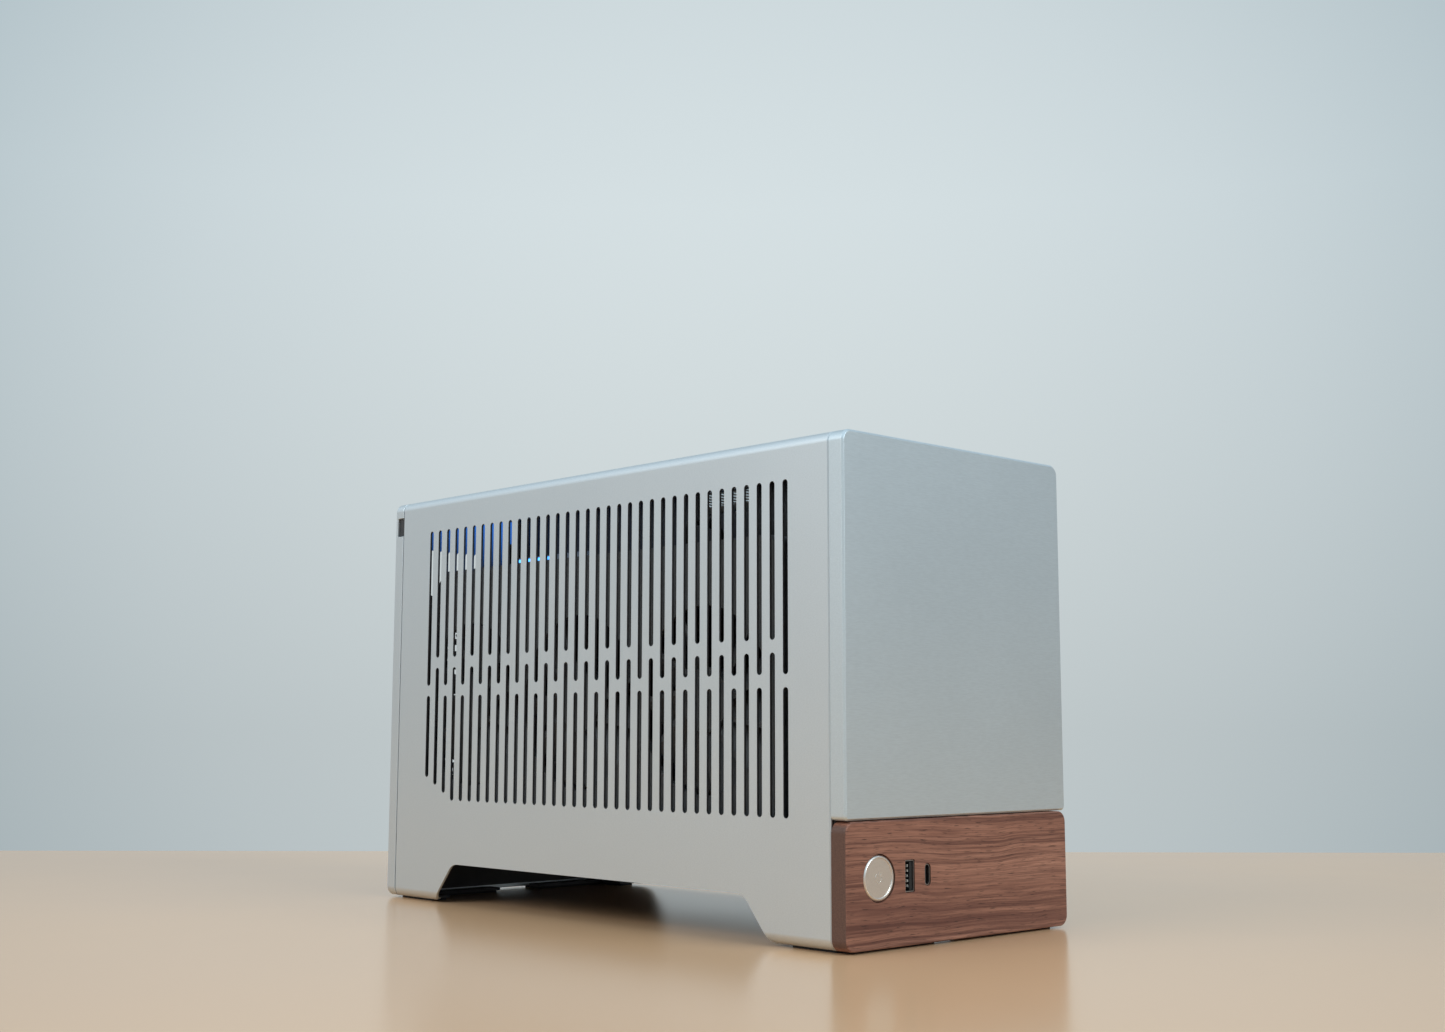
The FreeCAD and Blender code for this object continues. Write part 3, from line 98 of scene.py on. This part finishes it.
# Mark on the button: lengths in metres, the ring's half gap in degrees
MARK_R = 0.0022
MARK_LINE = 0.0005
MARK_GAP = 38
MARK_STEPS = 24
MARK_DEPTH = 0.00036
MARK_RISE = 0.00008
MARK_WELD = 0.000001
BAR_START = 0.0004
BAR_PAST_RING = 0.0003

# Room: colours by direction, each with the span of directions that it changes over, from -1 to 1
BACKDROP = [(0.0, (0.330, 0.405, 0.450)), (0.40, (0.440, 0.530, 0.570)),
            (0.75, (0.600, 0.680, 0.710)), (1.0, (0.690, 0.765, 0.785))]
BACKDROP_SPAN = (0.80, 1.01)
BACKDROP_TILT = 0.14
BACKDROP_EDGE = (0.55, 0.85)
ROOM_AROUND = [(0.0, (0.68, 0.735, 0.76)), (0.5, (0.62, 0.73, 0.80)), (1.0, (0.44, 0.49, 0.52))]
ROOM_AROUND_SPAN = (-1.0, 1.0)
ROOM_HEIGHT = [(0.0, (0.83, 0.80, 0.77)), (1.0, (1.14, 1.21, 1.26))]
ROOM_HEIGHT_SPAN = (-0.05, 0.60)
HORIZON = [(0.0, (0.80, 0.79, 0.78)), (1.0, 1.0)]
HORIZON_SPAN = (0.0, 0.30)

# Soft lights: name, place, target and size in metres, power in watts, colour
LIGHTS = [("light_left", (-2.2, 0.3, 1.5), (0, 0, 0.15), 1.6, 30.0, (0.94, 0.98, 1.0)),
          ("light_front", (0.3, -2.5, 1.4), (0, 0, 0.12), 1.4, 42.0, (0.84, 0.95, 1.0))]


# Node trees

class Tree:
    """A node tree under construction."""

    def __init__(self, tree):
        self.tree = tree

    def node(self, kind, inputs=None, **settings):
        """Add a node; each of its inputs takes a socket or a value."""
        made = self.tree.nodes.new(kind)
        for key, value in settings.items():
            setattr(made, key, value)
        for key, value in (inputs or {}).items():
            if isinstance(value, bpy.types.NodeSocket):
                self.tree.links.new(value, made.inputs[key])
            else:
                made.inputs[key].default_value = value
        return made

    def parts(self, vector):
        """The X, Y and Z of a vector."""
        return self.node("ShaderNodeSeparateXYZ", {0: vector}).outputs

    def math(self, operation, a, b=0.0):
        return self.node("ShaderNodeMath", {0: a, 1: b}, operation=operation).outputs[0]

    def span(self, value, low, high, start=0.0, end=1.0):
        """Map the stretch from low to high onto start to end, and hold it beyond them."""
        made = self.node("ShaderNodeMapRange", {"Value": value, "From Min": low, "From Max": high,
                                                "To Min": start, "To Max": end})
        return made.outputs["Result"]

    def ramp(self, value, stops):
        """A colour ramp from a list of (position, colour); a number stands for a grey."""
        made = self.node("ShaderNodeValToRGB", {"Fac": value})
        points = made.color_ramp.elements
        while len(points) < len(stops):
            points.new(0.5)
        for point, (place, color) in zip(points, stops):
            point.position = place
            point.color = (*color, 1) if isinstance(color, tuple) else (color, color, color, 1)
        return made.outputs["Color"]

    def mix(self, factor, a, b, blend="MIX"):
        """Mix two colours, each of them a socket or a tuple."""
        a, b = ((*color, 1) if isinstance(color, tuple) else color for color in (a, b))
        made = self.node("ShaderNodeMix", {0: factor, 6: a, 7: b}, data_type="RGBA", blend_type=blend)
        return made.outputs[2]


class Paint(Tree):
    """A material under construction, with its shader and its coordinates in metres."""

    def __init__(self, name, color, metallic=0.0, roughness=0.5):
        self.mat = bpy.data.materials.new(name)
        self.mat.use_nodes = True
        super().__init__(self.mat.node_tree)
        self.shader = self.tree.nodes["Principled BSDF"]
        source = self.node("ShaderNodeTexCoord").outputs
        self.coords = source["Object"]
        self.normals = source["Normal"]
        self.shader.inputs["Base Color"].default_value = (*color, 1)
        self.shader.inputs["Metallic"].default_value = metallic
        self.shader.inputs["Roughness"].default_value = roughness

    def scaled(self, scale, vector=None):
        made = self.node("ShaderNodeMapping", {"Vector": vector or self.coords, "Scale": scale})
        return made.outputs["Vector"]

    def noise(self, scale, detail=3.0, vector=None, rough=0.5):
        made = self.node("ShaderNodeTexNoise", {"Vector": vector or self.coords, "Scale": scale,
                                                "Detail": detail, "Roughness": rough})
        return made.outputs["Fac"]

    def cells(self, scale, **settings):
        made = self.node("ShaderNodeTexVoronoi", {"Vector": self.coords, "Scale": scale}, **settings)
        return made.outputs["Distance"]

    def between(self, socket, limits):
        """1 where a value lies between two limits, otherwise 0."""
        low, high = limits
        return self.math("MULTIPLY", self.math("GREATER_THAN", socket, low),
                         self.math("LESS_THAN", socket, high))

    def band(self, socket, limits, fade):
        """1 where a value lies between two limits, fading to 0 over a short distance."""
        low, high = limits
        return self.math("MULTIPLY", self.span(socket, low - fade, low),
                         self.span(socket, high, high + fade, 1.0, 0.0))

    def color(self, socket):
        self.tree.links.new(socket, self.shader.inputs["Base Color"])

    def rough(self, value, low, high):
        self.tree.links.new(self.span(value, 0.0, 1.0, low, high), self.shader.inputs["Roughness"])

    def bump(self, height, strength, distance):
        made = self.node("ShaderNodeBump", {"Height": height, "Strength": strength, "Distance": distance})
        self.tree.links.new(made.outputs["Normal"], self.shader.inputs["Normal"])

    def emit(self, socket, strength):
        self.tree.links.new(socket, self.shader.inputs["Emission Color"])
        self.shader.inputs["Emission Strength"].default_value = strength


# Materials

def slot_walls(paint):
    """1 on the cut faces inside the slots in a door's side, where painted shade goes, 0 on the sheet
    itself.
    """
    place = paint.parts(paint.coords)
    in_rows = paint.math("MULTIPLY", paint.between(place["Y"], SLOTS_Y), paint.between(place["Z"], SLOTS_Z))
    across = paint.between(paint.parts(paint.normals)["X"], (-0.5, 0.5))
    return paint.math("MULTIPLY", in_rows, across)


def anodised(name, color, stretch, scale=2600.0, shade_slots=False):
    """Satin anodised aluminium: a fine blasted grain, slightly drawn out, and a faint cloudy tone; on a
    door, painted shade on the slots' inner walls.
    """
    paint = Paint(name, color, metallic=0.9)
    grain = paint.noise(scale, 2.0, paint.scaled(stretch))
    cloud = paint.noise(14.0, 2.0)
    tone = paint.mix(paint.math("MULTIPLY", cloud, 0.30), color, tuple(c * 0.93 for c in color))
    light = tuple(min(1.0, c * 1.10) for c in color)
    face = paint.mix(paint.ramp(grain, [(0.30, 0.0), (0.70, 0.6)]), tone, light)
    # Painted shade: the slots' inner walls are darkened as if in shadow, though they are the door's own
    # metal
    paint.color(paint.mix(slot_walls(paint), face, SLOT_WALL_SHADE) if shade_slots else face)
    gloss = paint.math("ADD", paint.math("MULTIPLY", cloud, 0.6), paint.math("MULTIPLY", grain, 0.4))
    paint.rough(gloss, 0.34, 0.44)
    paint.bump(grain, 0.10, 0.00004)
    return paint.mat


def walnut(name):
    """Oiled walnut with its grain along X: bands, dark lines, pores, and end grain on the ends."""
    paint = Paint(name, (0.25, 0.11, 0.07))
    place = paint.parts(paint.coords)
    wander = paint.noise(1.0, 2.0, paint.scaled((11.0, 14.0, 12.0)))
    level = paint.math("ADD", place["Z"], paint.math("MULTIPLY", wander, WOOD_WANDER))
    flow = paint.node("ShaderNodeCombineXYZ", {0: place["X"], 1: place["Y"], 2: level}).outputs[0]

    def grain(scale, detail, rough):
        return paint.noise(1.0, detail, paint.scaled(scale, flow), rough)

    tone = paint.ramp(grain((4.0, 30.0, 95.0), 3.0, 0.55), WOOD_BANDS)
    lines = paint.ramp(grain((5.0, 60.0, 470.0), 5.0, 0.68), [(0.38, 0.85), (0.48, 0.22), (0.62, 0.0)])
    fine = grain((40.0, 600.0, 1500.0), 3.0, 0.6)
    fibres = paint.ramp(fine, [(0.38, 0.55), (0.58, 0.0)])
    pores = paint.ramp(grain((130.0, 1300.0, 2400.0), 2.0, 0.5), [(0.60, 0.0), (0.68, 0.75)])
    face = paint.mix(fibres, paint.mix(lines, tone, WOOD_LINE), WOOD_FIBRE)
    face = paint.mix(pores, face, WOOD_PORE)
    ends = paint.mix(paint.noise(1300.0, 3.0, paint.scaled((0.3, 1.0, 1.4))), *WOOD_ENDS)
    sideways = paint.math("ABSOLUTE", paint.parts(paint.normals)["X"])
    paint.color(paint.mix(paint.ramp(sideways, [(0.60, 0.0), (0.85, 1.0)]), face, ends))
    paint.rough(fine, 0.46, 0.62)
    paint.shader.inputs["Specular IOR Level"].default_value = 0.32
    paint.bump(paint.math("SUBTRACT", fine, pores), 0.25, 0.00012)
    return paint.mat


def moulded(name, color, roughness=(0.45, 0.62), grain=900.0, depth=0.00008):
    """Moulded plastic or rubber with a fine texture and a slight change of tone."""
    paint = Paint(name, color)
    texture = paint.noise(grain)
    paint.color(paint.mix(paint.noise(30.0, 2.0), color, tuple(min(1.0, c * 1.5 + 0.004) for c in color)))
    paint.rough(texture, *roughness)
    paint.bump(texture, 0.3, depth)
    return paint.mat


def metal(name, color, roughness, stretch=(1, 1, 1), grain=700.0, metallic=1.0):
    """Bare or plated metal with a directional grain."""
    paint = Paint(name, color, metallic)
    lines = paint.noise(grain, 3.0, paint.scaled(stretch))
    paint.color(paint.mix(lines, tuple(c * 0.86 for c in color), color))
    paint.rough(lines, *roughness)
    paint.bump(lines, 0.12, 0.00005)
    return paint.mat


def coated_steel(name):
    """Black powder-coated sheet, with an orange-peel surface."""
    paint = Paint(name, (0.055, 0.056, 0.060))
    peel = paint.noise(1300.0)
    dust = paint.ramp(paint.noise(60.0, 4.0), [(0.45, 0.0), (0.75, 0.5)])
    paint.color(paint.mix(dust, (0.040, 0.041, 0.044), (0.080, 0.082, 0.087)))
    paint.rough(peel, 0.42, 0.60)
    paint.bump(peel, 0.35, 0.00010)
    return paint


def circuit_board(name):
    """Dark solder mask with traces and bright pads."""
    paint = Paint(name, (0.012, 0.016, 0.018), roughness=0.35)
    pads = paint.ramp(paint.cells(420.0, distance="MANHATTAN"), [(0.16, 1.0), (0.20, 0.0)])
    tracks = paint.ramp(paint.cells(160.0, distance="CHEBYCHEV", feature="F2"), [(0.50, 0.0), (0.60, 0.8)])
    base = paint.mix(tracks, (0.010, 0.014, 0.016), (0.022, 0.034, 0.038))
    paint.color(paint.mix(pads, base, (0.33, 0.30, 0.24)))
    paint.bump(tracks, 0.3, 0.00008)
    return paint.mat


def lit_plastic(name):
    """Milky strip whose rear half is lit in blue from within."""
    paint = Paint(name, (0.30, 0.33, 0.36), roughness=0.3)
    place = paint.parts(paint.coords)
    lit = paint.math("MULTIPLY", paint.band(place["Y"], STRIP_Y, STRIP_FADE_Y),
                     paint.band(place["Z"], STRIP_Z, STRIP_FADE_Z))
    paint.emit(paint.mix(lit, STRIP_UNLIT, STRIP_BLUE), STRIP_STRENGTH)
    paint.color(paint.mix(paint.noise(300.0, 2.0), (0.20, 0.22, 0.25), (0.32, 0.36, 0.40)))
    return paint.mat


def painted_glow_panel(name):
    """The rear plate: coated steel with the strip's blue light painted on its inner face as a glow, near
    the top of the graphics side.
    """
    paint = coated_steel(name)
    place = paint.parts(paint.coords)
    inside = paint.math("MULTIPLY", paint.math("LESS_THAN", place["Y"], GLOW_Y),
                        paint.math("LESS_THAN", place["X"], GLOW_X))
    cloud = paint.math("ADD", paint.math("MULTIPLY", paint.noise(25.0, 2.0), 0.6), 0.6)
    # Painted light: this blue glow stands in for the strip's light falling on the plate; the plate itself
    # is no lamp
    lit = paint.math("MULTIPLY", paint.math("MULTIPLY", paint.span(place["Z"], *GLOW_Z), inside), cloud)
    paint.emit(paint.mix(lit, (0.0, 0.0, 0.0), PAINTED_GLOW_BLUE), GLOW_STRENGTH)
    return paint.mat


def floor_finish():
    """Pale lacquered table top, with a faint unevenness in its tone and gloss."""
    paint = Paint("floor_finish", (0.60, 0.37, 0.21))
    cloud = paint.noise(3.0)
    paint.color(paint.mix(cloud, (0.585, 0.355, 0.20), (0.615, 0.385, 0.22)))
    paint.rough(cloud, 0.16, 0.24)
    paint.shader.inputs["Specular IOR Level"].default_value = 0.36
    return paint.mat


SLOT_MATERIALS = {
    "anodised_aluminium": anodised("anodised_aluminium", ALUMINIUM, (1.0, 0.45, 1.0)),
    "walnut": walnut("walnut"),
    "satin_silver": metal("satin_silver", (0.80, 0.755, 0.71), (0.28, 0.40), (1, 1, 1), 1500.0),
    "dark_plastic": moulded("dark_plastic", (0.022, 0.023, 0.026)),
    "bright_steel": metal("bright_steel", (0.62, 0.62, 0.63), (0.24, 0.38), (1, 1, 6)),
    "port_plastic": moulded("port_plastic", (0.004, 0.004, 0.004), (0.55, 0.7)),
    "contact_gold": metal("contact_gold", (0.95, 0.92, 0.86), (0.45, 0.6), metallic=0.25),
    "circuit_board": circuit_board("circuit_board"),
    "black_steel": coated_steel("black_steel").mat,
    "pad_rubber": moulded("pad_rubber", (0.014, 0.014, 0.014), (0.7, 0.9), 1600.0, 0.00015),
    "black_aluminium": metal("black_aluminium", (0.045, 0.046, 0.050), (0.35, 0.5), (1, 6, 1)),
    "chip_package": moulded("chip_package", (0.03, 0.03, 0.032), (0.3, 0.45)),
    "cooler_aluminium": metal("cooler_aluminium", (0.48, 0.49, 0.50), (0.25, 0.42), (1, 8, 1)),
    "copper": metal("copper", (0.72, 0.40, 0.27), (0.2, 0.35)),
    "fan_plastic": moulded("fan_plastic", (0.065, 0.068, 0.072), (0.3, 0.45)),
    "switch_plastic": moulded("switch_plastic", (0.012, 0.012, 0.013), (0.2, 0.3)),
    "shroud_plastic": moulded("shroud_plastic", (0.080, 0.085, 0.090), (0.35, 0.5), 1200.0),
    "lit_plastic": lit_plastic("lit_plastic"),
    "cable_jacket": moulded("cable_jacket", (0.014, 0.014, 0.015), (0.5, 0.65), 500.0),
}


# Pieces

def dress(node, mat):
    """Give a CAD node one material in place of its own."""
    mesh = nodes[node].data
    mesh.materials.clear()
    mesh.materials.append(mat)


def dress_all():
    """Dress each node by its slot, then the few that need a finish of their own."""
    for part in frame["record"]["subparts"]:
        dress(part["node"], SLOT_MATERIALS[part["material_slot"]])
    dress("rear_plate", painted_glow_panel("rear_plate_steel_painted_glow"))
    dress("front_cover", anodised("anodised_front", ALUMINIUM_FRONT, (0.16, 1.0, 1.3), scale=1500.0))
    door_metal = anodised("anodised_door", ALUMINIUM, (1.0, 0.45, 1.0), shade_slots=True)
    port_metal = metal("port_metal", (0.34, 0.32, 0.31), (0.3, 0.45), (1, 1, 6))
    for node, mat in (("door_left", door_metal), ("door_right", door_metal),
                      ("usb_a_shell", port_metal), ("usb_c_shell", port_metal)):
        dress(node, mat)


def soften(node, width):
    """Round a CAD node's edges slightly and shade it smoothly, with modifiers only."""
    piece = nodes[node]
    weld = piece.modifiers.new("weld", "WELD")
    weld.merge_threshold = WELD_DISTANCE
    flat = piece.modifiers.new("flat", "DECIMATE")
    flat.decimate_type = "DISSOLVE"
    flat.angle_limit = math.radians(FLAT_ANGLE)
    bevel = piece.modifiers.new("edge", "BEVEL")
    bevel.width = width
    bevel.segments = 2
    bevel.limit_method = "ANGLE"
    bevel.angle_limit = math.radians(EDGE_ANGLE)
    piece.data.shade_smooth()
    piece.modifiers.new("normals", "WEIGHTED_NORMAL")


def button_mark():
    """A plain power sign, a ring open at the top with a bar, lying on the button's dished face."""
    low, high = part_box("power_button")
    middle = Vector(((low[0] + high[0]) / 2, low[1] + MARK_DEPTH, (low[2] + high[2]) / 2))
    mesh = bmesh.new()

    def plate(outline):
        front = [mesh.verts.new(middle + Vector((x, -MARK_RISE, z))) for x, z in outline]
        rear = [mesh.verts.new(middle + Vector((x, 0, z))) for x, z in outline]
        mesh.faces.new(front)
        mesh.faces.new(rear[::-1])
        for i in range(len(outline)):
            j = (i + 1) % len(outline)
            mesh.faces.new((front[j], front[i], rear[i], rear[j]))

    turn = 360 - 2 * MARK_GAP
    angles = [math.radians(90 + MARK_GAP + turn * i / MARK_STEPS) for i in range(MARK_STEPS + 1)]
    inner = MARK_R - MARK_LINE
    for a, b in zip(angles, angles[1:]):
        corners = ((MARK_R, a), (MARK_R, b), (inner, b), (inner, a))
        plate([(r * math.cos(t), r * math.sin(t)) for r, t in corners])
    side, top = MARK_LINE / 2, MARK_R + BAR_PAST_RING
    plate([(-side, BAR_START), (side, BAR_START), (side, top), (-side, top)])
    bmesh.ops.remove_doubles(mesh, verts=mesh.verts, dist=MARK_WELD)
    bmesh.ops.recalc_face_normals(mesh, faces=mesh.faces)
    data = bpy.data.meshes.new("button_mark")
    mesh.to_mesh(data)
    mesh.free()
    data.materials.append(metal("mark_silver", (0.86, 0.87, 0.87), (0.16, 0.26), (1, 1, 1), 1500.0))
    piece = bpy.data.objects.new("button_mark", data)
    bpy.context.scene.collection.objects.link(piece)
    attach(piece, "power_button")


# Scene

def make_floor():
    """A table top whose far edge lies square to the camera's view."""
    turn = Matrix.Rotation(-math.radians(CAMERA_YAW), 3, "Z")
    foot = Vector((CAMERA_AT.x, CAMERA_AT.y, 0))
    corners = [(-FLOOR_ASIDE, -FLOOR_BEHIND), (FLOOR_ASIDE, -FLOOR_BEHIND),
               (FLOOR_ASIDE, FLOOR_AHEAD), (-FLOOR_ASIDE, FLOOR_AHEAD)]
    mesh = bpy.data.meshes.new("floor")
    mesh.from_pydata([foot + turn @ Vector((x, y, 0)) for x, y in corners], [], [(0, 1, 2, 3)])
    floor = bpy.data.objects.new("floor", mesh)
    bpy.context.scene.collection.objects.link(floor)
    mesh.materials.append(floor_finish())


def make_camera():
    data = bpy.data.cameras.new("camera")
    data.lens = CAMERA_LENS
    data.sensor_width = CAMERA_SENSOR
    data.clip_start = CAMERA_NEAR
    camera = bpy.data.objects.new("camera", data)
    bpy.context.scene.collection.objects.link(camera)
    camera.location = CAMERA_AT
    upright = Euler((math.radians(90 + CAMERA_PITCH), 0, -math.radians(CAMERA_YAW)), "XYZ").to_matrix()
    camera.rotation_euler = (upright @ Matrix.Rotation(math.radians(CAMERA_ROLL), 3, "Z")).to_euler()
    bpy.context.scene.camera = camera


def area_light(name, place, target, size, power, color):
    """A round soft light that the camera doesn't see."""
    data = bpy.data.lights.new(name, "AREA")
    data.shape = "DISK"
    data.size = size
    data.energy = power
    data.color = color
    lamp = bpy.data.objects.new(name, data)
    bpy.context.scene.collection.objects.link(lamp)
    lamp.location = place
    lamp.rotation_euler = (Vector(place) - Vector(target)).to_track_quat("Z", "Y").to_euler()
    lamp.visible_camera = False


def make_room():
    """A plain pale backdrop ahead, and even light from the rest of the room."""
    world = bpy.data.worlds.new("room")
    world.use_nodes = True
    room = Tree(world.node_tree)
    place = room.node("ShaderNodeTexCoord").outputs["Generated"]
    yaw = math.radians(CAMERA_YAW)

    def towards(*way):
        """How much a direction in the room points the given way, from -1 to 1."""
        made = room.node("ShaderNodeVectorMath", {0: place, 1: way}, operation="DOT_PRODUCT")
        return made.outputs["Value"]

    ahead = towards(math.sin(yaw), math.cos(yaw), BACKDROP_TILT)
    right = towards(math.cos(yaw), -math.sin(yaw), 0)
    up = towards(0, 0, 1)
    backdrop = room.ramp(room.span(ahead, *BACKDROP_SPAN), BACKDROP)
    around = room.mix(1.0, room.ramp(room.span(right, *ROOM_AROUND_SPAN), ROOM_AROUND),
                      room.ramp(room.span(up, *ROOM_HEIGHT_SPAN), ROOM_HEIGHT), "MULTIPLY")
    facing = room.ramp(room.span(ahead, *BACKDROP_EDGE), [(0.0, 0.0), (1.0, 1.0)])
    horizon = room.ramp(room.span(up, *HORIZON_SPAN), HORIZON)
    whole = room.mix(1.0, room.mix(facing, around, backdrop), horizon, "MULTIPLY")
    back = room.tree.nodes["Background"]
    room.tree.links.new(whole, back.inputs["Color"])
    back.inputs["Strength"].default_value = 1.0
    bpy.context.scene.world = world
    bpy.context.scene.view_settings.view_transform = "Standard"


make_camera()
dress_all()
for name in ("door_left", "door_right", "top_rail", "front_cover", "rear_bezel"):
    soften(name, SHEET_EDGE)
soften("walnut_block", WOOD_EDGE)
soften("power_button", BUTTON_EDGE)
button_mark()
make_floor()
make_room()
for light in LIGHTS:
    area_light(*light)
